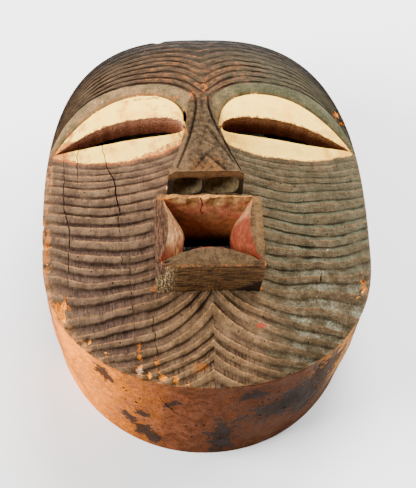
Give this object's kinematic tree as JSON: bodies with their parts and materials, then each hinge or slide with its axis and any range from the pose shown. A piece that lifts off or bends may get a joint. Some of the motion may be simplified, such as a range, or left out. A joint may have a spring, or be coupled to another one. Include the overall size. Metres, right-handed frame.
{
  "type": "carved mask",
  "caption": "Carved wooden mask with a striated convex face, narrow slit eyes under white lids, a wedge nose and a protruding square funnel mouth, hollow behind.",
  "frame": {"origin": "centre of the bounding box on the plane the back rim rests on", "axes": "+X to the right of someone facing the mask, +Y from chin to forehead, +Z out of the face away from the back rim"},
  "size_m": [0.272, 0.3492, 0.199],
  "materials": {
    "carved_wood": "dark paint worn to matt wood on the face, white clay lids, red mouth, raw sides"
  },
  "bodies": {
    "root": {"mask": "carved_wood"}
  },
  "joints": []
}
